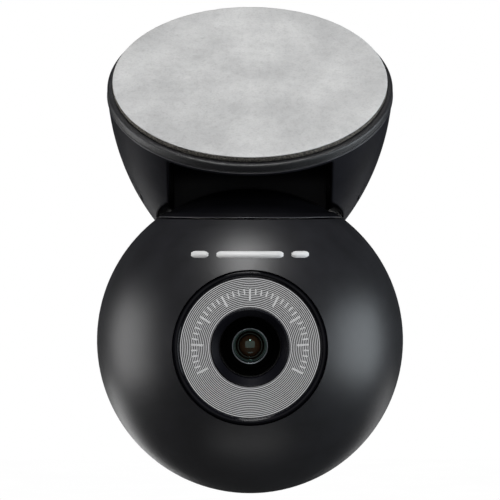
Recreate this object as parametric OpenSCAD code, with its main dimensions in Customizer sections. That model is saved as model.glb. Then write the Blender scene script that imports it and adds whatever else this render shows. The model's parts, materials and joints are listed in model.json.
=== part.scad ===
// Ball-type dash camera on a bowl-shaped adhesive mount.
// Millimetres, +Z up, lens facing -Y. Origin at the centre of the adhesive face.
// The camera ball pans about its vertical axis on a swivel cap, and the cap tilts in the mount.

/* [Camera ball] */
// Diameter of the camera ball
ball_d = 40; // [39:0.5:42]
// Wall thickness of the ball shells
shell_wall = 1.8; // [1.6:0.1:2]
// Height of the swivel seam above the ball's centre
seam_z = 16; // [15.8:0.1:16.2]
// Open gap at the swivel seam
seam_gap = 0.2; // [0.15:0.05:0.25]
// Plane where the front and rear shells meet, behind the ball's centre
split_y = 1.5; // [1.2:0.1:1.8]

/* [Lens front] */
// Radius of the round window in the front shell
window_r = 9.75; // [9.7:0.05:9.9]
// Outer radius of the grooved silver ring
dial_r = 8.8; // [8.7:0.05:8.85]
// Number of grooves in the silver ring
dial_grooves = 16; // [8:1:16]
// Outer radius of the lens bezel
bezel_r = 4.9; // [4.85:0.05:4.92]
// Inner radius of the lens recess
recess_r = 3.9; // [3.8:0.05:4]

/* [Mount] */
// Tilt of the adhesive face from the horizontal, in degrees
pad_tilt = 35; // [34:0.5:36]
// Distance from the adhesive face's centre down to the ball's centre
ball_drop = 34.2; // [34:0.1:34.6]
// Distance from the adhesive face's centre forward to the ball's centre
ball_forward = 2.5; // [2.2:0.1:2.8]
// Diameter of the adhesive pad
pad_d = 36.2; // [35.6:0.1:36.6]
// Diameter of the mount plate
plate_d = 37.6; // [37.4:0.1:37.8]
// Width of the recess between the mount's cheeks
recess_w = 21; // [20.8:0.1:21.2]
// Wall thickness of the mount housing
mount_wall = 1.8; // [1.6:0.1:1.9]

/* [Joints] */
// Height of the tilt axis above the ball's centre
tilt_z = 20.5; // [20.3:0.1:20.8]
// Distance of the tilt axis behind the ball's centre
tilt_y = 5; // [4.8:0.1:5.2]
// Tilt of the lens down from rest, in degrees
tilt_down = 15; // [10:1:15]
// Tilt of the lens up from rest, in degrees
tilt_up = 5; // [3:1:6]
// Pan to either side of rest, in degrees
pan_range = 45; // [30:1:60]

/* [Cable socket] */
// Bore radius of the jack sleeve, for a 2.5 mm plug
jack_bore_r = 1.3; // [1.28:0.01:1.32]
// Length of the jack sleeve's bore
jack_len = 9; // [8:0.5:9.5]

/* [Hidden] */
$fn = 96;

eps = 0.01;
big = 60;
ball_r = ball_d / 2;
inner_r = ball_r - shell_wall;

// Layers of the mount, as depths below the adhesive face.
liner_t = 0.12;
foam_t = 0.75;
plate_t = 1.2;
plate_top = liner_t + foam_t;
rim_s = plate_top + plate_t;
spigot_s = rim_s + 1.2;
lip_s = rim_s + 0.4;
plate_r = plate_d / 2;
spigot_r = plate_r - mount_wall - 0.1;

// The mount housing is a bowl turned about the adhesive face's axis.
horn_r = 18.8;
horn_arc = 39;
horn_end_s = 23.5;

// Swivel and tilt parts.
deck_t = 1.55;
deck_top = seam_z - seam_gap / 2;
cap_z = seam_z + seam_gap / 2;
cap_rim = 0.6;
cap_step = 0.25;
deck_bore_r = 4.6;
spigot_out_r = 3.5;
cable_bore_r = 1.8;
pin_r = 2.2;
run_gap = 0.05;
knuckle_r = 4;
washer_t = 0.5;
washer_r = 3.7;
knuckle_half = recess_w / 2 - washer_t - 2 * run_gap;
slot_back = tilt_y + 5.5;
cheek_t = 1.5;
pin_half = 14.2;
pin_cap_r = 2.6;
pin_exit_x = 12.7;
swing_gap = 0.5;
stop_r = 9.8;
stop_peg_r = 0.7;
stop_gap = 0.2;
stop_depth = 0.9;

// The jack in the back of the mount.
jack_z = 24.4;
jack_face_y = 23.8;
jack_spot_r = 3.9;
jack_hole_r = 2.1;
jack_sleeve_r = 1.9;
socket_board_z = jack_z + 3.2;
board_post_x = 5.2;
board_post_y = jack_face_y - 3.8;

// Fasteners: shank radius, and the pilot hole that leaves it room.
shank_r = 0.8;
pilot_r = 0.85;
head_r = 1.5;
plate_bosses = [[14.6, -4], [-14.6, -4], [9, 11.5], [-9, 11.5]];
boss_r = 1.7;
shell_screw_at = [[12.7, 2], [-12.7, 2], [0, -13]];
board_screw_at = [[8.5, 7], [-8.5, 7], [8.5, -8], [-8.5, -8]];
holder_screw_x = 4.9;

// Lens front, as distances forward of the ball's centre.
seat_back = 14.8;
seat_front = 15.9;
dial_front = 16.9;
bezel_front = 17.25;
bezel_back = 12.5;
chamfer_depth = 1;
barrel_front = 13.6;
barrel_back = 3;
barrel_r = 3.6;

// Routes of the cable, by hand: in the ball's frame for head and neck, and for the mount.
cable_r = 0.85;
head_route = [[0, 0, 11.1], [0, 0.4, 10.3], [0, 1.7, 9.6], [0, 2.7, 8.7], [0, 2.8, 7.55]];
neck_route = [[0, 0, 11.6], [0, 0, 13], [0, 0, 14.6], [0, 0.9, 16], [0, 2.2, 17], [0, 3.4, 17.7]];
mount_route = [[0.6, 5, 20.5], [6, 5, 20.5], [11, 5, 20.5], [12.5, 5.2, 20.5], [12.8, 7, 20.5],
               [12.9, 9.3, 20.55], [12.9, 10.8, 22], [12.9, 12.4, 23.9], [11.8, 14.6, 26.2],
               [9.4, 16.4, 28.2], [7.2, 17.2, 29.3], [5.2, 17.4, 29.5], [3.4, 17.3, 29.4]];

// ---- Frames ----

// The ball's centre, with the row's own directions.
module at_ball() {
    translate([0, -ball_forward, -ball_drop]) children();
}

// The adhesive face, with +Z as its outward normal.
module at_pad() {
    rotate([pad_tilt, 0, 0]) children();
}

// The lens axis: +Z runs forward through the lens.
module at_lens() {
    at_ball() rotate([90, 0, 0]) children();
}

// The tilt axis as a cylinder along X, in the ball's frame.
module tilt_rod(r, x0, x1) {
    translate([x0, tilt_y, tilt_z]) rotate([0, 90, 0]) cylinder(h = x1 - x0, r = r);
}

// Both ends of the tilt axis, from a distance out through the mount's sides.
module both_pin_ends(r, from_x) {
    at_ball() {
        tilt_rod(r, from_x, 24);
        tilt_rod(r, -24, -from_x);
    }
}

// ---- Shared shapes ----

module ring(r_out, r_in, h) {
    difference() {
        cylinder(h = h, r = r_out);
        translate([0, 0, -eps]) cylinder(h = h + 2 * eps, r = r_in);
    }
}

module centred_box(size, at) {
    translate(at) translate([-size[0] / 2, -size[1] / 2, 0]) cube(size);
}

// A pan-head screw whose head sits on z = 0, with its shank below.
module screw(length, head_h = 0.9) {
    difference() {
        union() {
            cylinder(h = head_h, r = head_r);
            translate([0, 0, -length]) cylinder(h = length + eps, r = shank_r);
        }
        translate([0, 0, head_h - 0.5]) cylinder(h = 1, r = 0.7, $fn = 6);
    }
}

// A round cable swept along a smooth curve through a route's points.
function spline(a, b, c, d, t) =
    0.5 * ((2 * b) + (c - a) * t + (2 * a - 5 * b + 4 * c - d) * t * t
           + (3 * b - a - 3 * c + d) * t * t * t);
function clamp_at(p, i) = p[max(0, min(len(p) - 1, i))];
function smooth(p, n) =
    concat([for (i = [0 : len(p) - 2]) for (k = [0 : n - 1])
                spline(clamp_at(p, i - 1), p[i], p[i + 1], clamp_at(p, i + 2), k / n)],
           [p[len(p) - 1]]);
function unit(v) = v / norm(v);
function across(n, t) = unit(n - t * (n * t));
function normals(ts, n, i = 0) =
    i >= len(ts) ? [] : let (m = across(n, ts[i])) concat([m], normals(ts, m, i + 1));

module cable(route, start, steps = 3, sides = 8) {
    p = smooth(route, steps);
    ts = [for (i = [0 : len(p) - 1]) unit(clamp_at(p, i + 1) - clamp_at(p, i - 1))];
    ns = normals(ts, start);
    rings = [for (i = [0 : len(p) - 1]) for (k = [0 : sides - 1])
                 p[i] + cable_r * (cos(360 * k / sides) * ns[i]
                                   + sin(360 * k / sides) * cross(ts[i], ns[i]))];
    last = (len(p) - 1) * sides;
    walls = [for (i = [0 : len(p) - 2]) for (k = [0 : sides - 1])
                 [i * sides + k, (i + 1) * sides + k,
                  (i + 1) * sides + (k + 1) % sides, i * sides + (k + 1) % sides]];
    ends = [[for (k = [0 : sides - 1]) k], [for (k = [sides - 1 : -1 : 0]) last + k]];
    polyhedron(points = rings, faces = concat(walls, ends));
}

// ---- Mount ----

// Outline of the bowl, set in by a wall, from a depth down: a wide arc closed by a flat end.
module horn_outline(inset, from_s) {
    intersection() {
        translate([horn_r - horn_arc, 0]) circle(r = horn_arc - inset, $fn = 180);
        translate([0, inset - horn_end_s]) square([big, horn_end_s - inset - from_s]);
    }
}

// The outline starts its turn at the front, where the recess opens.
module horn_solid(inset, from_s) {
    at_pad() rotate([0, 0, -90]) rotate_extrude() horn_outline(inset, from_s);
}

// The space that the ball sweeps as it tilts, with room to spare.
module ball_swings(grow) {
    for (a = [-tilt_up, 0, tilt_down])
        at_ball() translate([0, tilt_y, tilt_z]) rotate([a, 0, 0])
            translate([0, -tilt_y, -tilt_z]) sphere(r = ball_r + grow);
}

// The recess between the cheeks, open to the front and below.
module yoke_slot(extra, from_s) {
    intersection() {
        at_ball() translate([-recess_w / 2 - extra, -big, -big])
            cube([recess_w + 2 * extra, big + slot_back + extra, 2 * big]);
        at_pad() translate([-big, -big, -2 * big]) cube([2 * big, 2 * big, 2 * big - from_s]);
    }
}

module plate_boss_rods(r, from_s, to_s) {
    at_pad() for (p = plate_bosses)
        translate([p[0], p[1], -to_s]) cylinder(h = to_s - from_s, r = r);
}

module jack_rod(r, y0, y1) {
    at_ball() translate([0, y1, jack_z]) rotate([90, 0, 0]) cylinder(h = y1 - y0, r = r);
}

module socket_post_rods(r, z0, z1) {
    at_ball() for (x = [-board_post_x, board_post_x])
        translate([x, board_post_y, z0]) cylinder(h = z1 - z0, r = r);
}

// The hollow inside the housing, which leaves its walls and bosses standing.
module mount_hollow() {
    difference() {
        horn_solid(mount_wall, rim_s - 1);
        yoke_slot(cheek_t, -1);
        ball_swings(swing_gap + mount_wall);
        plate_boss_rods(boss_r, spigot_s, 22);
        at_ball() tilt_rod(pin_r + 1.4, 0, big);
        at_ball() tilt_rod(pin_r + 1.4, -big, 0);
        jack_rod(jack_hole_r + 1.5, jack_face_y - 2.5, big);
        socket_post_rods(1.4, 0, socket_board_z);
    }
}

module mount_housing() {
    color([0.10, 0.10, 0.11]) difference() {
        horn_solid(0, rim_s);
        mount_hollow();
        at_pad() translate([0, 0, -spigot_s - run_gap]) cylinder(h = spigot_s, r = spigot_r + run_gap);
        yoke_slot(0, lip_s);
        ball_swings(swing_gap);
        plate_boss_rods(pilot_r, rim_s, rim_s + 7);
        at_ball() tilt_rod(pin_r + run_gap, -pin_half - 0.1, pin_half + 0.1);
        both_pin_ends(pin_cap_r + run_gap, pin_half);
        at_ball() translate([pin_exit_x, tilt_y, tilt_z]) rotate([-90, 0, 0]) cylinder(h = 7, r = 1.3);
        jack_rod(jack_hole_r, jack_face_y - 4, jack_face_y + 1);
        jack_rod(jack_spot_r, jack_face_y, jack_face_y + 5);
        socket_post_rods(0.65, socket_board_z - 5, socket_board_z + eps);
    }
}

module release_liner() {
    color([0.80, 0.80, 0.79]) at_pad() translate([0, 0, -liner_t]) cylinder(h = liner_t, d = pad_d - 0.1);
}

module adhesive_pad() {
    color([0.12, 0.12, 0.12]) at_pad() translate([0, 0, -plate_top]) cylinder(h = foam_t, d = pad_d);
}

module mount_plate() {
    edge = 0.3;
    under = spigot_s - rim_s + 0.02;
    top = spigot_s - plate_top;
    color([0.09, 0.09, 0.10]) difference() {
        at_pad() translate([0, 0, -spigot_s]) rotate_extrude() polygon([
            [0, under], [spigot_r - 2, under], [spigot_r - 2, 0], [spigot_r, 0],
            [spigot_r, under], [plate_r, under], [plate_r, top - edge], [plate_r - edge, top],
            [0, top]]);
        plate_boss_rods(shank_r + 0.1, -1, rim_s + 2);
        plate_boss_rods(head_r + 0.1, -1, plate_top + 0.5);
        at_pad() for (p = plate_bosses) translate([p[0], p[1], -spigot_s - 1])
            cylinder(h = 1 + spigot_s - rim_s - 0.1, r = boss_r + 0.3);
    }
}

module plate_screws() {
    color([0.75, 0.75, 0.77]) at_pad() for (p = plate_bosses)
        translate([p[0], p[1], -plate_top - 0.48]) screw(6.5, 0.45);
}

module tilt_pin() {
    color([0.72, 0.72, 0.74]) at_ball() difference() {
        tilt_rod(pin_r, -pin_half, pin_half);
        tilt_rod(1.2, -pin_half - 1, pin_half + 1);
        translate([0, tilt_y, tilt_z - 3]) cylinder(h = 3, r = 1.6);
        translate([pin_exit_x, tilt_y, tilt_z]) rotate([-90, 0, 0]) cylinder(h = 4, r = 1.2);
    }
}

module pin_caps() {
    color([0.08, 0.08, 0.09]) intersection() {
        horn_solid(0, rim_s);
        both_pin_ends(pin_cap_r, pin_half + 0.1);
    }
}

module friction_washers() {
    color([0.85, 0.83, 0.76]) at_ball() for (s = [-1, 1])
        translate([s * (knuckle_half + run_gap + washer_t / 2), tilt_y, tilt_z]) rotate([0, 90, 0])
            translate([0, 0, -washer_t / 2]) ring(washer_r, pin_r + 0.1, washer_t);
}

module jack_sleeve() {
    color([0.85, 0.72, 0.40]) difference() {
        union() {
            jack_rod(jack_sleeve_r, jack_face_y - jack_len, jack_face_y);
            jack_rod(jack_sleeve_r + 0.6, jack_face_y - jack_len, jack_face_y - jack_len + 0.8);
        }
        jack_rod(jack_bore_r, jack_face_y - jack_len - 1, jack_face_y + 1);
    }
}

module jack_body() {
    color([0.12, 0.12, 0.13]) difference() {
        at_ball() translate([-3, jack_face_y - jack_len + 0.9, jack_z - 2.6]) cube([6, jack_len - 4, 5.7]);
        jack_rod(jack_sleeve_r + 0.03, jack_face_y - big, jack_face_y + 1);
    }
}

module jack_contacts() {
    color([0.85, 0.65, 0.30]) at_ball() for (i = [0 : 3]) {
        side = i % 2 == 0 ? 1 : -1;
        translate([side * 3.2 - 0.15, jack_face_y - jack_len + 1.3 + 1.1 * i, jack_z - 1])
            cube([0.3, 0.8, socket_board_z - jack_z + 0.8]);
    }
}

module jack_collar() {
    color([0.55, 0.55, 0.57]) difference() {
        jack_rod(jack_spot_r - 0.4, jack_face_y + 0.02, jack_face_y + 0.45);
        jack_rod(jack_bore_r + 0.2, jack_face_y - 1, jack_face_y + 2);
    }
}

module socket_board() {
    color([0.05, 0.30, 0.18]) at_ball() difference() {
        translate([-6.5, jack_face_y - 10.1, socket_board_z + 0.05]) cube([13, 7.1, 0.8]);
        for (x = [-board_post_x, board_post_x])
            translate([x, board_post_y, socket_board_z - 1]) cylinder(h = 3, r = 0.75);
        for (x = [-3.2, 3.2])
            translate([x - 0.3, jack_face_y - 8.1, socket_board_z - 1]) cube([0.6, 4.8, 3]);
    }
}

module socket_board_screws() {
    color([0.75, 0.75, 0.77]) at_ball() for (x = [-board_post_x, board_post_x])
        translate([x, board_post_y, socket_board_z + 0.87]) {
            cylinder(h = 0.6, r = 1.1);
            translate([0, 0, -4.5]) cylinder(h = 4.6, r = 0.6);
        }
}

module mount_cable() {
    color([0.15, 0.15, 0.16]) at_ball() cable(mount_route, [0, 0, 1]);
}

// ---- Swivel ----

module swivel_cap() {
    color([0.11, 0.11, 0.12]) at_ball() difference() {
        union() {
            intersection() {
                sphere(r = ball_r);
                translate([-big, -big, cap_z]) cube([2 * big, 2 * big, cap_rim]);
            }
            intersection() {
                sphere(r = ball_r - cap_step);
                translate([-big, -big, cap_z + cap_rim / 2]) cube([2 * big, 2 * big, big]);
            }
            tilt_rod(knuckle_r, -knuckle_half, knuckle_half);
            translate([-knuckle_half, tilt_y - knuckle_r, cap_z])
                cube([2 * knuckle_half, 2 * knuckle_r - 2.2, tilt_z - cap_z]);
            translate([0, 0, 11.4]) cylinder(h = cap_z + 1 - 11.4, r = spigot_out_r);
            translate([0, -stop_r, deck_top - stop_depth + 0.1])
                cylinder(h = cap_z - deck_top + stop_depth, r = stop_peg_r);
        }
        tilt_rod(pin_r + run_gap, -big, big);
        translate([0, 0, 10]) cylinder(h = 6.2, r = cable_bore_r);
        translate([0, 0, 15.5]) rotate([-54, 0, 0]) cylinder(h = 4.8, r = 1.5);
        translate([0, tilt_y - 0.6, tilt_z - 3.2]) cylinder(h = 3.2, r = 1.5);
        translate([0, 0, cap_z - 1]) ring(8.4, 5, 1.55);
        translate([0, 0, 11.95]) ring(5, 3.1, 0.75);
    }
}

module glide_washer() {
    color([0.90, 0.89, 0.84]) at_ball() translate([0, 0, deck_top + run_gap]) ring(8.2, 5.2, 0.6);
}

module wave_washer() {
    color([0.70, 0.70, 0.72]) at_ball() translate([0, 0, 12.75]) ring(5.6, 3.65, 0.45);
}

module retaining_clip() {
    color([0.70, 0.70, 0.72]) at_ball() difference() {
        translate([0, 0, 12.0]) ring(5.2, 3.2, 0.65);
        translate([-1.2, 0, 11]) cube([2.4, 8, 2]);
    }
}

module neck_cable() {
    color([0.15, 0.15, 0.16]) at_ball() cable(neck_route, [1, 0, 0]);
}

// ---- Ball shells ----

// The ball's casing below the seam, hollow, with a flat deck on top.
module ball_casing() {
    difference() {
        sphere(r = ball_r);
        intersection() {
            sphere(r = inner_r);
            translate([-big, -big, -big]) cube([2 * big, 2 * big, big + deck_top - deck_t]);
        }
        translate([-big, -big, deck_top]) cube([2 * big, 2 * big, big]);
        cylinder(h = big, r = deck_bore_r);
    }
}

// A post along Y, kept inside the ball.
module shell_post(at, r, y0, y1) {
    intersection() {
        sphere(r = ball_r - shell_wall / 2);
        translate([at[0], y1, at[1]]) rotate([90, 0, 0]) cylinder(h = y1 - y0, r = r);
    }
}

module y_hole(at, r, y0, y1) {
    translate([at[0], y1, at[1]]) rotate([90, 0, 0]) cylinder(h = y1 - y0, r = r);
}

module front_shell() {
    color([0.11, 0.11, 0.12]) at_ball() difference() {
        union() {
            intersection() {
                ball_casing();
                translate([-big, -big, -big]) cube([2 * big, big + split_y, 2 * big]);
            }
            rotate([90, 0, 0]) translate([0, 0, seat_back]) cylinder(h = seat_front - seat_back, r = 10);
            for (p = board_screw_at) shell_post(p, 1.7, -18, 0);
            for (p = shell_screw_at) shell_post(p, 1.8, -18, split_y);
        }
        rotate([90, 0, 0]) translate([0, 0, seat_front]) cylinder(h = 6, r = window_r);
        rotate([90, 0, 0]) translate([0, 0, 10]) cylinder(h = 8, r = bezel_r + 0.2);
        for (p = board_screw_at) y_hole(p, pilot_r, -6, 0.1);
        for (p = shell_screw_at) y_hole(p, pilot_r, -5, split_y + 0.1);
        translate([0, 0, deck_top - stop_depth]) rotate([0, 0, -90 - pan_range - 7])
            rotate_extrude(angle = 2 * pan_range + 14)
                translate([stop_r - stop_peg_r - stop_gap, 0]) square([2 * (stop_peg_r + stop_gap), 2]);
    }
}

module rear_shell() {
    color([0.11, 0.11, 0.12]) at_ball() difference() {
        union() {
            intersection() {
                ball_casing();
                translate([-big, split_y + 0.05, -big]) cube([2 * big, big, 2 * big]);
            }
            for (p = shell_screw_at) shell_post(p, 2.4, split_y + 0.05, 18);
        }
        for (p = shell_screw_at) y_hole(p, shank_r + 0.15, 0, 20);
        for (p = shell_screw_at) y_hole(p, head_r + 0.2, 6, 20);
    }
}

module pan_bush() {
    color([0.90, 0.89, 0.84]) at_ball() difference() {
        union() {
            translate([0, 0, 13.3]) cylinder(h = 1, r = 6);
            translate([0, 0, 14.2]) cylinder(h = deck_top - 14.2, r = deck_bore_r - 0.05);
        }
        translate([0, 0, 12]) cylinder(h = 6, r = spigot_out_r + run_gap);
    }
}

module shell_screws() {
    color([0.20, 0.20, 0.21]) at_ball() for (p = shell_screw_at)
        translate([p[0], 6.02, p[1]]) rotate([-90, 0, 0]) screw(10);
}

// ---- Lens front ----

module trim_ring() {
    tube_r = (window_r - 0.05 - dial_r - 0.05) / 2;
    mid = (window_r - 0.05 + dial_r + 0.05) / 2;
    color([0.05, 0.05, 0.06]) at_lens() rotate_extrude() union() {
        translate([mid - tube_r, seat_front + 0.02]) square([2 * tube_r, 1.05]);
        translate([mid, seat_front + 1.07]) circle(r = tube_r, $fn = 48);
    }
}

module dial_ring() {
    pitch = (dial_r - bezel_r - 0.5) / dial_grooves;
    groove = 0.09;
    color([0.75, 0.75, 0.77]) at_lens() rotate_extrude() polygon(concat(
        [[dial_r, dial_front], [dial_r, seat_front + 0.02], [bezel_r + 0.05, seat_front + 0.02],
         [bezel_r + 0.05, dial_front]],
        [for (i = [0 : dial_grooves - 1]) for (k = [0 : 1])
             [bezel_r + 0.3 + (i + 0.5 * k) * pitch, dial_front - groove * k]],
        [[dial_r - 0.2, dial_front]]));
}

module lens_bezel() {
    color([0.04, 0.04, 0.05]) at_lens() rotate_extrude() polygon([
        [bezel_r, seat_back - 0.05], [bezel_r, bezel_front - 0.15], [bezel_r - 0.15, bezel_front],
        [recess_r + 0.08, bezel_front - chamfer_depth + 0.1], [recess_r, bezel_front - chamfer_depth],
        [recess_r, 13.4], [4.5, 13.4], [4.5, bezel_back], [6.4, bezel_back], [6.4, seat_back - 0.05]]);
}

module lens_barrel() {
    color([0.06, 0.06, 0.07]) at_lens() rotate_extrude() polygon([
        [barrel_r, barrel_back], [barrel_r, barrel_front], [3.1, barrel_front], [3.1, 9.6],
        [2.6, 9.6], [2.6, 4], [2, 4], [2, barrel_back]]);
}

module lens_retainer() {
    color([0.07, 0.07, 0.08]) at_lens() rotate_extrude() polygon([
        [3.08, 12.97], [3.08, 13.62], [2.35, 13.62], [2.1, 13.3], [2.1, 12.97]]);
}

// A round lens element: a disc with an arc on its front face.
module lens(r, back, edge, bulge) {
    sag_r = (r * r + bulge * bulge) / (2 * bulge);
    rotate_extrude() intersection() {
        translate([0, back + edge + bulge - sag_r]) circle(r = sag_r, $fn = 120);
        translate([0, back]) square([r, edge + bulge + 1]);
    }
}

module front_lens() {
    color([0.55, 0.65, 0.70, 0.5]) at_lens() lens(3, 10.25, 1.7, 0.95);
}

module middle_lens() {
    color([0.60, 0.68, 0.72, 0.5]) at_lens() lens(2.55, 7, 1.6, 0.7);
}

module rear_lens() {
    color([0.60, 0.68, 0.72, 0.5]) at_lens() lens(2.55, 4.1, 1.7, 0.6);
}

module aperture_stop() {
    color([0.03, 0.03, 0.03]) at_lens() translate([0, 0, 9.62]) ring(3.05, 0.95, 0.5);
}

module ir_filter() {
    color([0.45, 0.75, 0.80, 0.5]) at_lens() centred_box([5.4, 5.4, 0.3], [0, 0, 1.53]);
}

module lens_seal() {
    color([0.06, 0.06, 0.06]) at_lens() translate([0, 0, 12.94])
        rotate_extrude() translate([4.05, 0]) circle(r = 0.42, $fn = 48);
}

module lens_holder() {
    color([0.08, 0.08, 0.09]) at_lens() difference() {
        union() {
            centred_box([12.6, 9, 2.6], [0, 0, 0.02]);
            cylinder(h = 10, r = 4.6);
        }
        translate([0, 0, 2.5]) cylinder(h = 8, r = barrel_r + run_gap);
        cylinder(h = 4, r = 2.3);
        centred_box([5.5, 5.5, 0.4], [0, 0, 1.5]);
        centred_box([6.8, 6.8, 1.6], [0, 0, -0.05]);
        for (s = [-1, 1]) translate([s * holder_screw_x, 0, -1]) cylinder(h = 3, r = 0.65);
    }
}

// ---- Electronics ----

module image_sensor() {
    color([0.30, 0.30, 0.34]) at_lens() centred_box([6.4, 5.6, 0.9], [0, 0, 0.02]);
}

module main_board() {
    color([0.05, 0.30, 0.18]) at_lens() difference() {
        centred_box([20.6, 18.4, 1], [0, -0.8, -1]);
        for (p = board_screw_at) translate([p[0], p[1], -2]) cylinder(h = 4, r = shank_r + 0.1);
        for (s = [-1, 1]) translate([s * holder_screw_x, 0, -2]) cylinder(h = 4, r = 0.7);
    }
}

module holder_screws() {
    color([0.75, 0.75, 0.77]) at_lens() for (s = [-1, 1]) translate([s * holder_screw_x, 0, -1.02])
        rotate([180, 0, 0]) {
            cylinder(h = 0.6, r = 1.05);
            translate([0, 0, -2.6]) cylinder(h = 2.7, r = 0.6);
        }
}

module board_screws() {
    color([0.75, 0.75, 0.77]) at_lens() for (p = board_screw_at)
        translate([p[0], p[1], -1.02]) rotate([180, 0, 0]) screw(6);
}

module video_chip() {
    color([0.12, 0.12, 0.12]) at_lens() centred_box([7, 7, 0.9], [0, -4.6, -1.92]);
}

module board_parts() {
    color([0.55, 0.48, 0.38]) at_lens() {
        for (x = [-9, -7.6]) for (y = [-3 : 2 : 3])
            centred_box([0.9, 1.2, 0.6], [x, y, -1.62]);
        for (x = [6.8, 8.8]) centred_box([1.2, 2.4, 0.9], [x, -2, -1.92]);
        centred_box([3.2, 2.5, 0.8], [7.4, 2.4, -1.82]);
    }
}

module cable_connector() {
    color([0.88, 0.87, 0.82]) at_lens() centred_box([6, 3, 3.4], [0, 5.95, -4.42]);
}

module head_cable() {
    color([0.15, 0.15, 0.16]) at_ball() cable(head_route, [1, 0, 0]);
}

release_liner();
adhesive_pad();
mount_plate();
plate_screws();
mount_housing();
tilt_pin();
pin_caps();
friction_washers();
jack_sleeve();
jack_body();
jack_contacts();
jack_collar();
socket_board();
socket_board_screws();
mount_cable();
swivel_cap();
glide_washer();
wave_washer();
retaining_clip();
neck_cable();
front_shell();
rear_shell();
pan_bush();
trim_ring();
dial_ring();
lens_bezel();
lens_barrel();
lens_retainer();
front_lens();
middle_lens();
rear_lens();
aperture_stop();
ir_filter();
lens_seal();
lens_holder();
holder_screws();
image_sensor();
main_board();
video_chip();
board_parts();
cable_connector();
board_screws();
shell_screws();
head_cable();
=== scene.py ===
import json
import math

import bpy
import bmesh
from mathutils import Matrix, Vector, noise


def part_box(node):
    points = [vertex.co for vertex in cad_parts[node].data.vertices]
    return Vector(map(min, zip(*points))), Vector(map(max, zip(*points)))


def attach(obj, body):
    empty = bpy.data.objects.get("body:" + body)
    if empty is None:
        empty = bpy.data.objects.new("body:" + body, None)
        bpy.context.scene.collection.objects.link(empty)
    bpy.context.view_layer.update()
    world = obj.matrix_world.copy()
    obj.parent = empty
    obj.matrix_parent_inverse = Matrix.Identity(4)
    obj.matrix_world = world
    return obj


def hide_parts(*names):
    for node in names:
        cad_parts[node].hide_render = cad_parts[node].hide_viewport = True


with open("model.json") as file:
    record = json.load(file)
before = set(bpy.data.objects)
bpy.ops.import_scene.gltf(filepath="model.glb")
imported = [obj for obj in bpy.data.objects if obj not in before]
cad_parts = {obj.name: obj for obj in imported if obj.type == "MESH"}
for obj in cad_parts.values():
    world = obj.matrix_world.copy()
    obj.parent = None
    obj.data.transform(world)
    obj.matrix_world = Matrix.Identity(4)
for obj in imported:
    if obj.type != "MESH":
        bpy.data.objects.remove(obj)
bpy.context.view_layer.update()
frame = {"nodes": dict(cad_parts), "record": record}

MM = 0.001

# ---- Places taken from the frame ----

def half_width(node):
    low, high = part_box(node)
    return (high.x - low.x) / 2


BALL_R = half_width("front_shell")
BALL = Vector((0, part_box("rear_shell")[1].y - BALL_R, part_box("front_shell")[0].z + BALL_R))

mounts = {m["name"]: m for m in frame["record"]["mounts"]}
PAD_NORMAL = Vector(mounts["adhesive_face"]["axis"]).normalized()
PAD_TILT = math.atan2(-PAD_NORMAL.y, PAD_NORMAL.z)
PAD_R = half_width("adhesive_pad")
PLATE_R = half_width("mount_plate")
DIAL_R = half_width("dial_ring")

# Depths below the pad's face: the liner's underside, the foam's, and the plate's foot.
LINER_T = 0.12 * MM
FOAM_BACK = 0.87 * MM
PLATE_FOOT = 2.07 * MM

# The swivel cap's lower rim, as a radius and a height above the ball's centre.
CAP_RIM_R = 11.82 * MM
CAP_RIM_Z = 16.15 * MM

# The silver ring: its bore, its plain lips, and the grooves between them.
DIAL_IN = 4.95 * MM
LIP = 0.18 * MM
GROOVES = 16
PITCH = (DIAL_R - DIAL_IN - 2 * LIP) / GROOVES

# The lens, forward of the ball's centre: the glass's back and rim, and the retainer's ends.
GLASS_BACK = 10.25 * MM
GLASS_RIM = 11.9 * MM
RETAINER_BACK = 12.97 * MM
RETAINER_FRONT = 13.58 * MM

# Frames: the pad's own, with +Z out of its face, and the lens axis, with +Z forward.
AT_PAD = Matrix.Rotation(PAD_TILT, 4, "X")
AT_LENS = Matrix.Translation(BALL) @ Matrix.Rotation(math.radians(90), 4, "X")


def forward(node):
    """How far a node's front stands forward of the ball's centre."""
    return BALL.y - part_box(node)[0].y


# ---- Mesh helpers ----

def mesh_object(name, verts, faces, smooth=True):
    mesh = bpy.data.meshes.new(name)
    mesh.from_pydata([tuple(v) for v in verts], [], faces)
    mesh.validate()
    mesh.polygons.foreach_set("use_smooth", [smooth] * len(mesh.polygons))
    obj = bpy.data.objects.new(name, mesh)
    bpy.context.scene.collection.objects.link(obj)
    return obj


def outward(obj, weld=0.0):
    """Turns every face of a closed mesh outward, after joining points closer than weld."""
    bm = bmesh.new()
    bm.from_mesh(obj.data)
    if weld:
        bmesh.ops.remove_doubles(bm, verts=bm.verts, dist=weld)
    bmesh.ops.recalc_face_normals(bm, faces=bm.faces)
    bm.to_mesh(obj.data)
    bm.free()
    return obj


def lathe(name, outline, place, turns=256, ripple=None):
    """A closed outline of (radius, height) points turned about place's Z axis.
    ripple(radius, height, angle) may change each point's radius."""
    verts, faces = [], []
    rows = len(outline)
    for i in range(turns):
        angle = 2 * math.pi * i / turns
        for r, h in outline:
            radius = max(r + ripple(r, h, angle), 0) if ripple else r
            verts.append(place @ Vector((radius * math.cos(angle), radius * math.sin(angle), h)))
    for i in range(turns):
        j = (i + 1) % turns
        for k in range(rows):
            m = (k + 1) % rows
            faces.append((i * rows + k, j * rows + k, j * rows + m, i * rows + m))
    return outward(mesh_object(name, verts, faces), 1e-7)


def arc(centre, radius, start, end, steps):
    """Points on an arc, with angles in degrees."""
    return [(centre[0] + radius * math.cos(math.radians(start + (end - start) * i / steps)),
             centre[1] + radius * math.sin(math.radians(start + (end - start) * i / steps)))
            for i in range(steps + 1)]


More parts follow.
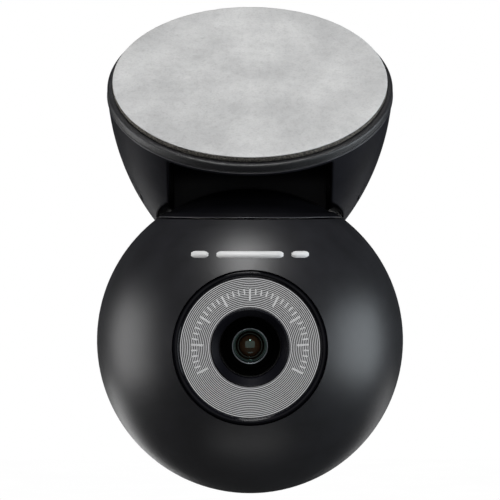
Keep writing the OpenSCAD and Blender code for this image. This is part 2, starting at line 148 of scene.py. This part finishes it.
def sharp(obj, angle=35):
    """Keeps edges sharper than an angle crisp, and the rest smooth."""
    bm = bmesh.new()
    bm.from_mesh(obj.data)
    limit = math.radians(angle)
    for edge in bm.edges:
        edge.smooth = len(edge.link_faces) == 2 and edge.calc_face_angle(0) < limit
    bm.to_mesh(obj.data)
    bm.free()
    return obj


def finish_piece(obj, body, slot, material, *nodes):
    obj.data.materials.clear()
    obj.data.materials.append(material)
    if nodes:
        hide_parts(*nodes)
    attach(obj, body)
    return obj


# ---- Materials ----

MOTTLE_MM = 4.0
GLASS_IOR = 1.6
GLASS_ROUGHNESS = 0.02


def new_material(name):
    mat = bpy.data.materials.new(name)
    mat.use_nodes = True
    nodes = mat.node_tree.nodes
    return mat, nodes, mat.node_tree.links, nodes["Principled BSDF"]


def noise_node(nodes, links, size_mm, detail=3.0, rough=0.55):
    """Noise whose features are about size_mm across, fixed to the piece."""
    coords = nodes.new("ShaderNodeTexCoord")
    tex = nodes.new("ShaderNodeTexNoise")
    tex.inputs["Scale"].default_value = 1 / (size_mm * MM)
    tex.inputs["Detail"].default_value = detail
    tex.inputs["Roughness"].default_value = rough
    links.new(coords.outputs["Object"], tex.inputs["Vector"])
    return tex.outputs["Fac"]


def colour_steps(nodes, links, value, first, last, *between):
    """Maps a 0 to 1 value to colours, from (position, colour) stops."""
    node = nodes.new("ShaderNodeValToRGB")
    elements = node.color_ramp.elements
    for element, (position, colour) in zip(elements, (first, last)):
        element.position = position
        element.color = (*colour, 1)
    for position, colour in between:
        elements.new(position).color = (*colour, 1)
    links.new(value, node.inputs["Fac"])
    return node.outputs["Color"]


def ramp(nodes, links, value, low, high, dark, light):
    """Maps a 0 to 1 value between two colours."""
    return colour_steps(nodes, links, value, (low, dark), (high, light))


def multiply(nodes, links, first, second):
    """Multiplies two colours."""
    both = nodes.new("ShaderNodeMix")
    both.data_type = "RGBA"
    both.blend_type = "MULTIPLY"
    both.inputs["Factor"].default_value = 1.0
    links.new(first, both.inputs["A"])
    links.new(second, both.inputs["B"])
    return both.outputs["Result"]


def remap(nodes, links, value, to_low, to_high):
    """Maps the middle of a noise's range between two numbers."""
    node = nodes.new("ShaderNodeMapRange")
    node.inputs["From Min"].default_value = 0.3
    node.inputs["From Max"].default_value = 0.7
    node.inputs["To Min"].default_value = to_low
    node.inputs["To Max"].default_value = to_high
    links.new(value, node.inputs["Value"])
    return node.outputs["Result"]


def bump(nodes, links, heights, shader, round_mm=0.0):
    """Adds bumps, each (height, depth in mm), to a shader's normal, and rounds the edges."""
    last = None
    if round_mm:
        bevel = nodes.new("ShaderNodeBevel")
        bevel.samples = 8
        bevel.inputs["Radius"].default_value = round_mm * MM
        last = bevel.outputs["Normal"]
    for value, depth in heights:
        node = nodes.new("ShaderNodeBump")
        node.inputs["Distance"].default_value = depth * MM
        node.inputs["Strength"].default_value = 1.0
        links.new(value, node.inputs["Height"])
        if last:
            links.new(last, node.inputs["Normal"])
        last = node.outputs["Normal"]
    links.new(last, shader.inputs["Normal"])


def moulded(name, colour, roughness, spread=0.05, grain_mm=0.16, depth=0.002, specular=0.5,
            metal=0.0, vary=0.25, round_mm=0.0):
    """Moulded plastic, painted or plain metal: fine grain, faint mottling, uneven gloss."""
    mat, nodes, links, shader = new_material(name)
    mottle = noise_node(nodes, links, MOTTLE_MM, 2.0)
    grain = noise_node(nodes, links, grain_mm, 4.0, 0.6)
    dark = [c * (1 - vary) for c in colour]
    light = [min(c * (1 + vary), 1) for c in colour]
    links.new(ramp(nodes, links, mottle, 0.3, 0.7, dark, light), shader.inputs["Base Color"])
    links.new(remap(nodes, links, grain, max(roughness - spread, 0.02), roughness + spread),
              shader.inputs["Roughness"])
    bump(nodes, links, [(grain, depth)], shader, round_mm)
    shader.inputs["Specular IOR Level"].default_value = specular
    shader.inputs["Metallic"].default_value = metal
    return mat


def liner_material():
    """Release film over foam: light grey, with orange-peel grain and soft cloudy patches."""
    mat, nodes, links, shader = new_material("liner")
    clouds = noise_node(nodes, links, 7.0, 3.0, 0.5)
    peel = noise_node(nodes, links, 0.9, 5.0, 0.65)
    fine = noise_node(nodes, links, 0.30, 3.0, 0.6)
    cloudy = ramp(nodes, links, clouds, 0.35, 0.68, (0.60, 0.60, 0.60), (0.76, 0.76, 0.755))
    pitted = ramp(nodes, links, peel, 0.30, 0.55, (0.90, 0.90, 0.90), (1, 1, 1))
    speckled = ramp(nodes, links, fine, 0.34, 0.50, (0.90, 0.90, 0.90), (1, 1, 1))
    shade = multiply(nodes, links, multiply(nodes, links, cloudy, pitted), speckled)
    links.new(shade, shader.inputs["Base Color"])
    links.new(remap(nodes, links, peel, 0.42, 0.58), shader.inputs["Roughness"])
    bump(nodes, links, [(peel, 0.10), (fine, 0.07)], shader)
    shader.inputs["Specular IOR Level"].default_value = 0.35
    shader.inputs["Sheen Weight"].default_value = 0.1
    return mat


def foam_material():
    """Closed-cell foam: near black with small grey cells."""
    mat, nodes, links, shader = new_material("foam")
    coords = nodes.new("ShaderNodeTexCoord")
    cells = nodes.new("ShaderNodeTexVoronoi")
    cells.inputs["Scale"].default_value = 1 / (0.20 * MM)
    links.new(coords.outputs["Object"], cells.inputs["Vector"])
    links.new(ramp(nodes, links, cells.outputs["Distance"], 0.2, 0.7, (0.008, 0.008, 0.008),
                   (0.20, 0.185, 0.16)), shader.inputs["Base Color"])
    shader.inputs["Roughness"].default_value = 0.9
    bump(nodes, links, [(cells.outputs["Distance"], 0.05)], shader)
    return mat


def board_material():
    """Green solder mask with fine copper tracks showing through."""
    mat, nodes, links, shader = new_material("board_green")
    coords = nodes.new("ShaderNodeTexCoord")
    tracks = nodes.new("ShaderNodeTexBrick")
    tracks.inputs["Scale"].default_value = 1 / (3.0 * MM)
    tracks.inputs["Color1"].default_value = (0.010, 0.10, 0.045, 1)
    tracks.inputs["Color2"].default_value = (0.014, 0.13, 0.060, 1)
    tracks.inputs["Mortar"].default_value = (0.030, 0.20, 0.090, 1)
    tracks.inputs["Mortar Size"].default_value = 0.03
    links.new(coords.outputs["Object"], tracks.inputs["Vector"])
    links.new(tracks.outputs["Color"], shader.inputs["Base Color"])
    fine = noise_node(nodes, links, 0.4)
    links.new(remap(nodes, links, fine, 0.28, 0.42), shader.inputs["Roughness"])
    bump(nodes, links, [(fine, 0.004)], shader)
    return mat


def glass_material(name, colour):
    """Coated lens glass with very fine polish marks."""
    mat, nodes, links, shader = new_material(name)
    fine = noise_node(nodes, links, 0.8)
    links.new(ramp(nodes, links, fine, 0.3, 0.7, [c * 0.9 for c in colour], colour),
              shader.inputs["Base Color"])
    links.new(remap(nodes, links, fine, GLASS_ROUGHNESS, GLASS_ROUGHNESS + 0.02),
              shader.inputs["Roughness"])
    bump(nodes, links, [(fine, 0.0002)], shader)
    shader.inputs["Transmission Weight"].default_value = 0.85
    shader.inputs["IOR"].default_value = GLASS_IOR
    shader.inputs["Coat Weight"].default_value = 0.6
    shader.inputs["Coat Tint"].default_value = (0.35, 0.95, 0.85, 1)
    shader.inputs["Coat Roughness"].default_value = 0.02
    return mat


def lens_radius(nodes, links):
    """Distance from the lens axis."""
    coords = nodes.new("ShaderNodeTexCoord")
    centre = nodes.new("ShaderNodeVectorMath")
    centre.operation = "SUBTRACT"
    centre.inputs[1].default_value = (BALL.x, 0, BALL.z)
    flat = nodes.new("ShaderNodeVectorMath")
    flat.operation = "MULTIPLY"
    flat.inputs[1].default_value = (1, 0, 1)
    radius = nodes.new("ShaderNodeVectorMath")
    radius.operation = "LENGTH"
    links.new(coords.outputs["Object"], centre.inputs[0])
    links.new(centre.outputs["Vector"], flat.inputs[0])
    links.new(flat.outputs["Vector"], radius.inputs[0])
    return radius.outputs["Value"]


def math_node(nodes, links, operation, value, other):
    node = nodes.new("ShaderNodeMath")
    node.operation = operation
    links.new(value, node.inputs[0])
    node.inputs[1].default_value = other
    return node.outputs["Value"]


def dial_material():
    """Turned aluminium: fine tool marks about the lens axis, with painted shade darkening the groove
    bottoms.
    """
    mat, nodes, links, shader = new_material("dial_silver")
    radius = lens_radius(nodes, links)
    marks = nodes.new("ShaderNodeTexNoise")
    marks.noise_dimensions = "1D"
    marks.inputs["Scale"].default_value = 1 / (0.06 * MM)
    links.new(radius, marks.inputs["W"])
    metal = ramp(nodes, links, marks.outputs["Fac"], 0.3, 0.7, (0.80, 0.80, 0.82), (1, 1, 1))
    along = math_node(nodes, links, "SUBTRACT", radius, DIAL_IN + LIP)
    step = math_node(nodes, links, "DIVIDE", along, PITCH)
    part = math_node(nodes, links, "FRACT", step, 0)
    # Painted shade: the colour is darkened in each groove's bottom, where shade falls, and left plain on the
    # lands.
    unshaded_colour, groove_shade_colour = (1, 1, 1), (0.16, 0.16, 0.17)
    painted_groove_shade = colour_steps(nodes, links, part, (0.40, unshaded_colour), (0.98, unshaded_colour), (0.55, groove_shade_colour), (0.88, groove_shade_colour))
    links.new(multiply(nodes, links, metal, painted_groove_shade), shader.inputs["Base Color"])
    links.new(remap(nodes, links, marks.outputs["Fac"], 0.26, 0.38), shader.inputs["Roughness"])
    bump(nodes, links, [(marks.outputs["Fac"], 0.004)], shader)
    shader.inputs["Metallic"].default_value = 1.0
    return mat


def dark_glass_material():
    """Coated glass over a black barrel, with teal reflections and a painted brown glow at its centre."""
    mat, nodes, links, shader = new_material("lens_glass_dark")
    radius = lens_radius(nodes, links)
    span = math_node(nodes, links, "DIVIDE", radius, 2.1 * MM)
    # Painted glow: a faint brown centre in the colour, fading to near black at the rim.
    painted_centre_glow = colour_steps(nodes, links, span, (0.0, (0.040, 0.020, 0.010)), (1.0, (0.002, 0.003, 0.003)),
                         (0.35, (0.060, 0.030, 0.014)))
    links.new(painted_centre_glow, shader.inputs["Base Color"])
    fine = noise_node(nodes, links, 0.8)
    links.new(remap(nodes, links, fine, 0.05, 0.09), shader.inputs["Roughness"])
    bump(nodes, links, [(fine, 0.0002)], shader)
    shader.inputs["Specular Tint"].default_value = (0.25, 0.95, 0.80, 1)
    shader.inputs["IOR"].default_value = GLASS_IOR
    shader.inputs["Specular IOR Level"].default_value = 0.35
    shader.inputs["Coat Weight"].default_value = 0.8
    shader.inputs["Coat Roughness"].default_value = 0.03
    return mat


MATERIALS = {
    "liner": liner_material(),
    "foam": foam_material(),
    "plate_plastic": moulded("plate_plastic", (0.010, 0.010, 0.012), 0.40, 0.12, 0.20, 0.07, 0.8),
    "mount_plastic": moulded("mount_plastic", (0.014, 0.014, 0.018), 0.48, 0.04, 0.14, 0.0025, 0.06,
                             round_mm=0.5),
    "ball_plastic": moulded("ball_plastic", (0.012, 0.012, 0.0145), 0.40, 0.06, 0.13, 0.005, 0.55),
    "washer_black": moulded("washer_black", (0.006, 0.006, 0.006), 0.6, 0.05, 0.2, 0.002, 0.1),
    "cap_plastic": moulded("cap_plastic", (0.0035, 0.0035, 0.005), 0.50, 0.05, 0.14, 0.003, 0.12),
    "trim_gloss": moulded("trim_gloss", (0.004, 0.004, 0.006), 0.12, 0.03, 0.5, 0.0006, 0.16),
    "dial_silver": dial_material(),
    "bezel_black": moulded("bezel_black", (0.007, 0.007, 0.010), 0.34, 0.05, 0.2, 0.001, 0.14),
    "barrel_black": moulded("barrel_black", (0.001, 0.001, 0.001), 0.60, 0.06, 0.2, 0.001, 0.01),
    "lens_glass": glass_material("lens_glass", (0.75, 0.85, 0.88)),
    "filter_glass": glass_material("filter_glass", (0.35, 0.75, 0.80)),
    "stop_black": moulded("stop_black", (0.004, 0.004, 0.004), 0.75, 0.05, 0.2, 0.001),
    "seal_rubber": moulded("seal_rubber", (0.012, 0.012, 0.012), 0.6, 0.08, 0.15, 0.002),
    "steel": moulded("steel", (0.55, 0.55, 0.57), 0.30, 0.08, 0.3, 0.001, metal=1.0),
    "black_steel": moulded("black_steel", (0.03, 0.03, 0.03), 0.38, 0.08, 0.3, 0.001, metal=0.8),
    "brass": moulded("brass", (0.78, 0.58, 0.28), 0.25, 0.08, 0.3, 0.001, metal=1.0),
    "nickel": moulded("nickel", (0.55, 0.55, 0.56), 0.22, 0.06, 0.3, 0.001, metal=1.0),
    "bearing_plastic": moulded("bearing_plastic", (0.72, 0.70, 0.62), 0.42, 0.05, 0.3, 0.002),
    "board_green": board_material(),
    "chip_black": moulded("chip_black", (0.02, 0.02, 0.02), 0.55, 0.08, 0.12, 0.003),
    "sensor_die": moulded("sensor_die", (0.06, 0.05, 0.10), 0.12, 0.04, 0.4, 0.0005),
    "small_parts": moulded("small_parts", (0.42, 0.32, 0.20), 0.45, 0.08, 0.3, 0.002, vary=0.5),
    "connector_plastic": moulded("connector_plastic", (0.75, 0.73, 0.66), 0.4, 0.06, 0.3, 0.002),
    "cable_black": moulded("cable_black", (0.015, 0.015, 0.015), 0.45, 0.08, 0.2, 0.003),
}
DARK_GLASS = dark_glass_material()
# Painted highlight: a light grey metal for the black retainer's lip, so that it shows as a bright ring.
RETAINER_LIP_HIGHLIGHT = moulded("ring_edge_painted_highlight", (0.30, 0.33, 0.36), 0.35, 0.05, 0.1, 0.0006, metal=0.7)
# Painted highlight: a grey lighter than the black plastics, for the fine beads at the plate's foot and the
# cap's rim.
EDGE_LINE_HIGHLIGHT = moulded("edge_line_painted_highlight", (0.07, 0.07, 0.08), 0.35, 0.05, 0.1, 0.0006)
PRINT = moulded("print_white", (0.80, 0.80, 0.80), 0.45, 0.05, 0.1, 0.001, vary=0.05)


def paint_frame():
    """Gives each CAD node its slot's material."""
    slots = {s["node"]: s["material_slot"] for s in frame["record"]["subparts"]}
    for name, obj in frame["nodes"].items():
        obj.data.materials.clear()
        obj.data.materials.append(MATERIALS[slots[name]])


# ---- Camera, light and floor ----

def set_camera():
    """A long lens, just above level, aimed a little over the ball's centre."""
    elevation = math.radians(1.5)
    distance = 0.366
    target = BALL + Vector((0, 0, 11.76 * MM))
    ahead = Vector((0, math.cos(elevation), -math.sin(elevation)))
    data = bpy.data.cameras.new("camera")
    data.sensor_width = 36
    data.lens = 201.6
    data.clip_start = 0.01
    data.clip_end = 20
    camera = bpy.data.objects.new("camera", data)
    bpy.context.scene.collection.objects.link(camera)
    camera.location = target - ahead * distance
    camera.rotation_mode = "QUATERNION"
    camera.rotation_quaternion = ahead.to_track_quat("-Z", "Y")
    bpy.context.scene.camera = camera


def softbox(name, direction, distance, width, height, radiance, colour=(1, 1, 1)):
    """A rectangular light facing the ball from a direction, given by its brightness."""
    data = bpy.data.lights.new(name, "AREA")
    data.shape = "RECTANGLE"
    data.size = width
    data.size_y = height
    data.energy = radiance * math.pi * width * height
    data.color = colour
    light = bpy.data.objects.new(name, data)
    bpy.context.scene.collection.objects.link(light)
    towards = Vector(direction).normalized()
    light.location = BALL + towards * distance
    light.rotation_mode = "QUATERNION"
    light.rotation_quaternion = towards.to_track_quat("Z", "Y")
    light.visible_camera = False
    return light


def mix_for_camera(nodes, links, lit, seen, surface):
    """Shows seen to the camera, and lit to every other ray."""
    path = nodes.new("ShaderNodeLightPath")
    mix = nodes.new("ShaderNodeMixShader")
    links.new(path.outputs["Is Camera Ray"], mix.inputs["Fac"])
    links.new(lit, mix.inputs[1])
    links.new(seen, mix.inputs[2])
    links.new(mix.outputs["Shader"], surface)


def set_world():
    """Plain white behind everything, and a dimmer grey all round for the reflections."""
    world = bpy.data.worlds.new("studio")
    world.use_nodes = True
    bpy.context.scene.world = world
    nodes, links = world.node_tree.nodes, world.node_tree.links
    nodes.clear()
    seen = nodes.new("ShaderNodeBackground")
    seen.inputs["Color"].default_value = (1, 1, 1, 1)
    room = nodes.new("ShaderNodeBackground")
    room.inputs["Color"].default_value = (0.92, 0.96, 1.0, 1)
    room.inputs["Strength"].default_value = 0.035
    out = nodes.new("ShaderNodeOutputWorld")
    mix_for_camera(nodes, links, room.outputs["Background"], seen.outputs["Background"],
                   out.inputs["Surface"])


def floor_material():
    """Pale and faintly mottled, and seen as plain white by the camera."""
    mat, nodes, links, shader = new_material("floor")
    clouds = noise_node(nodes, links, 60.0, 2.0)
    links.new(ramp(nodes, links, clouds, 0.3, 0.7, (0.07, 0.07, 0.07), (0.09, 0.09, 0.09)),
              shader.inputs["Base Color"])
    shader.inputs["Roughness"].default_value = 0.7
    seen = nodes.new("ShaderNodeEmission")
    links.new(ramp(nodes, links, clouds, 0.3, 0.7, (0.99, 0.99, 0.99), (1, 1, 1)), seen.inputs["Color"])
    mix_for_camera(nodes, links, shader.outputs["BSDF"], seen.outputs["Emission"],
                   nodes["Material Output"].inputs["Surface"])
    return mat


def set_floor():
    """A plain pale floor well below the hanging camera."""
    size, drop = 4.0, 0.40
    z = BALL.z - BALL_R - drop
    floor = mesh_object("floor", [(-size, -size, z), (size, -size, z), (size, size, z), (-size, size, z)],
                        [(0, 1, 2, 3)])
    floor.data.materials.append(floor_material())


def set_lights():
    """Two side boxes, one above, weak fills, and a small key that glints in the lens."""
    softbox("left_box", (-0.985, 0.17, -0.03), 0.75, 0.50, 0.5, 3.4)
    softbox("right_box", (0.995, -0.06, -0.02), 0.75, 0.60, 0.5, 4.2, (0.88, 0.95, 1.0))
    softbox("top_box", (-0.06, -0.44, 0.90), 0.8, 0.30, 0.40, 11.0)
    softbox("front_fill", (0, -1, 0.10), 0.9, 1.1, 0.8, 0.55)
    softbox("below_fill", (0, -0.25, -0.97), 0.36, 0.25, 0.15, 0.8)
    softbox("low_back_left", (-0.46, 0.82, -0.34), 1.0, 0.7, 0.2, 2.2)
    softbox("low_back_right", (0.48, 0.82, -0.32), 1.0, 0.7, 0.2, 0.9)
    softbox("lens_key", (0, -0.84, 0.54), 0.9, 0.14, 0.05, 24.0)


# ---- Pieces ----

def liner():
    """The release liner: a thin round film, dished by the foam's unevenness and finely wrinkled."""
    radius = PAD_R - 0.05 * MM
    painted_centre_glow, turns = 110, 300
    top = []
    for i in range(painted_centre_glow + 1):
        r = radius * i / painted_centre_glow
        for j in range(turns):
            angle = 2 * math.pi * j / turns
            x, y = r * math.cos(angle), r * math.sin(angle)
            p = Vector((x, y, 0)) / MM
            swell = 0.020 * noise.noise(p / 6.0) + 0.012 * noise.noise(p / 1.6 + Vector((7, 3, 1)))
            crease = -0.02 * max(0, 1 - abs(noise.noise(p / 4.5 + Vector((3, 9, 5)))) * 14)
            roll = 0.05 * max(0, (r / radius - 0.97) / 0.03) ** 2
            top.append((x, y, (min(swell + crease, 0.01) - roll) * MM))
    under = [(x, y, z * 0.3 - LINER_T) for x, y, z in top]
    verts = [AT_PAD @ Vector(p) for p in top + under]
    below = len(top)
    faces = []
    for i in range(painted_centre_glow):
        for j in range(turns):
            a, b = i * turns + j, i * turns + (j + 1) % turns
            c, d = a + turns, b + turns
            faces.append((a, c, d, b))
            faces.append((a + below, b + below, d + below, c + below))
    for j in range(turns):
        a, b = painted_centre_glow * turns + j, painted_centre_glow * turns + (j + 1) % turns
        faces.append((a, a + below, b + below, b))
    obj = outward(mesh_object("release_liner_film", verts, faces), 1e-8)
    return finish_piece(obj, "mount", "liner", MATERIALS["liner"], "release_liner")


def foam_pad():
    """The adhesive foam disc, with a rough cut edge that bellies slightly."""
    top, bottom = -LINER_T, -FOAM_BACK
    steps = 8
    edge = [(PAD_R - 0.12 * MM + 0.14 * MM * math.sin(math.pi * k / steps), top + (bottom - top) * k / steps)
            for k in range(steps + 1)]

    def rough(r, h, angle):
        if r < PAD_R * 0.9:
            return 0
        p = Vector((math.cos(angle) * 60, math.sin(angle) * 60, h / MM * 3))
        return 0.06 * MM * noise.noise(p) - 0.04 * MM

    obj = lathe("adhesive_foam", [(0, top)] + edge + [(0, bottom)], AT_PAD, 720, rough)
    return finish_piece(obj, "mount", "foam", MATERIALS["foam"], "adhesive_pad")


def plate():
    """The mount plate: its textured side is rounded above, with a fine bead along its foot."""
    top = -FOAM_BACK
    foot = -PLATE_FOOT
    r = PLATE_R
    outline = [(0, top), (r - 0.30 * MM, top)]
    outline += arc((r - 0.32 * MM, top - 0.30 * MM), 0.30 * MM, 90, 0, 8)
    outline += [(r - 0.02 * MM, foot + 0.26 * MM), (r - 0.10 * MM, foot + 0.20 * MM)]
    outline += arc((r - 0.09 * MM, foot + 0.09 * MM), 0.09 * MM, 90, -90, 8)
    outline += [(0, foot)]
    obj = sharp(lathe("mount_plate_disc", outline, AT_PAD, 360), 50)
    return finish_piece(obj, "mount", "plate_plastic", MATERIALS["plate_plastic"], "mount_plate")


def bead(name, radius, height, thick, place, body, slot, material):
    """A fine round bead along an edge that catches the light."""
    outline = arc((radius, height), thick, 0, 330, 11)
    return finish_piece(lathe(name, outline, place, 300), body, slot, material)


def plate_foot_bead():
    """A bead along the mount plate's foot, coloured lighter than the plate as a painted highlight line."""
    inset = 0.02 * MM
    return bead("plate_foot_bead", PLATE_R - inset, -PLATE_FOOT - inset, 0.06 * MM, AT_PAD,
                "mount", "plate_plastic", EDGE_LINE_HIGHLIGHT)


def cap_foot_bead():
    """A bead along the swivel cap's lower rim, coloured lighter than the cap as a painted highlight line."""
    return bead("cap_foot_bead", CAP_RIM_R, CAP_RIM_Z, 0.05 * MM, Matrix.Translation(BALL),
                "swivel", "cap_plastic", EDGE_LINE_HIGHLIGHT)


def dial():
    """The turned silver ring: sharp concentric grooves, with a plain lip at each side."""
    front = forward("dial_ring")
    back = front - 0.9 * MM
    depth = 0.14 * MM
    outline = [(DIAL_IN, back), (DIAL_IN, front - 0.03 * MM), (DIAL_IN + LIP * 0.6, front)]
    for i in range(GROOVES):
        r = DIAL_IN + LIP + i * PITCH
        outline += [(r, front), (r + PITCH * 0.45, front), (r + PITCH * 0.72, front - depth)]
    outline += [(DIAL_R - LIP, front), (DIAL_R - 0.03 * MM, front), (DIAL_R, front - 0.03 * MM),
                (DIAL_R, back)]
    obj = sharp(lathe("dial_ring_turned", outline, AT_LENS, 512), 20)
    return finish_piece(obj, "camera", "dial_silver", MATERIALS["dial_silver"], "dial_ring")


def front_glass():
    """The front lens: a bulging centre inside stepped, polished shoulders."""
    back, rim = GLASS_BACK, GLASS_RIM
    outline = [(0, back), (3 * MM, back), (3 * MM, rim), (2.05 * MM, rim)]
    outline += arc((1.88 * MM, rim), 0.10 * MM, 0, 180, 8)
    outline += [(1.70 * MM, rim - 0.2 * MM)]
    outline += arc((1.52 * MM, rim), 0.07 * MM, 0, 180, 8)
    outline += [(1.35 * MM, rim - 0.25 * MM)]
    outline += arc((0, rim - 1.62 * MM), 2.2 * MM, 53, 90, 16)
    obj = sharp(lathe("front_lens_glass", outline, AT_LENS, 160), 40)
    return finish_piece(obj, "camera", "lens_glass", DARK_GLASS, "front_lens")


def retainer():
    """The retainer ring that holds the front lens."""
    back, front = RETAINER_BACK, RETAINER_FRONT
    outline = [(2.30 * MM, back), (3.06 * MM, back), (3.06 * MM, front - 0.06 * MM), (3.0 * MM, front),
               (2.30 * MM, front)]
    obj = sharp(lathe("lens_retainer_ring", outline, AT_LENS, 200), 50)
    return finish_piece(obj, "camera", "barrel_black", MATERIALS["barrel_black"], "lens_retainer")


def retainer_lip():
    """The retainer's fine rolled lip, coloured light grey as a painted highlight on the black retainer."""
    back, front = RETAINER_BACK, RETAINER_FRONT
    outline = [(2.29 * MM, back), (2.29 * MM, front - 0.04 * MM)]
    outline += arc((2.20 * MM, front - 0.04 * MM), 0.08 * MM, 10, 190, 10)
    outline += [(2.12 * MM, back)]
    obj = sharp(lathe("lens_retainer_lip", outline, AT_LENS, 200), 50)
    return finish_piece(obj, "camera", "barrel_black", RETAINER_LIP_HIGHLIGHT)


def scale_marks():
    """Plain graduation ticks round the silver ring, except at its foot, longer at each fifth."""
    front = forward("dial_ring")
    verts, faces = [], []
    count, sweep = 41, 232
    for i in range(count):
        angle = math.radians(90 + sweep / 2 - sweep * i / (count - 1))
        long_mark = i % 5 == 0
        r0, r1 = (5.9 * MM, 7.4 * MM) if long_mark else (6.6 * MM, 7.4 * MM)
        half = (0.13 if long_mark else 0.10) * MM
        along = Vector((math.cos(angle), math.sin(angle), 0))
        side = Vector((-math.sin(angle), math.cos(angle), 0))
        base = len(verts)
        for h in (-0.02 * MM, 0.03 * MM):
            for r, s in ((r0, -1), (r1, -1), (r1, 1), (r0, 1)):
                verts.append(AT_LENS @ (along * r + side * half * s + Vector((0, 0, front + h))))
        faces += [(base, base + 1, base + 2, base + 3), (base + 4, base + 7, base + 6, base + 5)]
        for k in range(4):
            m = (k + 1) % 4
            faces.append((base + k, base + 4 + k, base + 4 + m, base + m))
    obj = outward(mesh_object("scale_marks", verts, faces, False))
    return finish_piece(obj, "camera", "dial_silver", PRINT)


def ball_mark():
    """A generic printed mark above the lens: one long dash between two short ones."""
    verts, faces = [], []
    lift = 0.02 * MM
    height = 11.6 * MM
    half = 0.42 * MM
    for x0, x1 in [(-7.4, -5.2), (-4.2, 4.2), (5.2, 7.4)]:
        steps = max(4, int((x1 - x0) * 4))
        base = len(verts)
        for i in range(steps + 1):
            x = (x0 + (x1 - x0) * i / steps) * MM
            end = min(i, steps - i) / 2
            h = half * (1 if end >= 1 else math.sqrt(max(1 - (1 - end) ** 2, 0.2)))
            for s in (-1, 1):
                z = height + s * h
                for r in (BALL_R - lift, BALL_R + lift):
                    y = -math.sqrt(r * r - x * x - z * z)
                    verts.append(BALL + Vector((x, y, z)))
        for i in range(steps):
            a, b = base + 4 * i, base + 4 * i + 4
            faces += [(a + 1, b + 1, b + 3, a + 3), (a, a + 2, b + 2, b),
                      (a, b, b + 1, a + 1), (a + 2, a + 3, b + 3, b + 2)]
        last = base + 4 * steps
        faces += [(base, base + 1, base + 3, base + 2), (last, last + 2, last + 3, last + 1)]
    obj = outward(mesh_object("ball_mark", verts, faces))
    return finish_piece(obj, "camera", "ball_plastic", PRINT)


paint_frame()
set_camera()
set_world()
set_floor()
set_lights()
liner()
foam_pad()
plate()
dial()
front_glass()
retainer()
retainer_lip()
plate_foot_bead()
cap_foot_bead()
scale_marks()
ball_mark()

bpy.context.scene.view_settings.view_transform = "Standard"
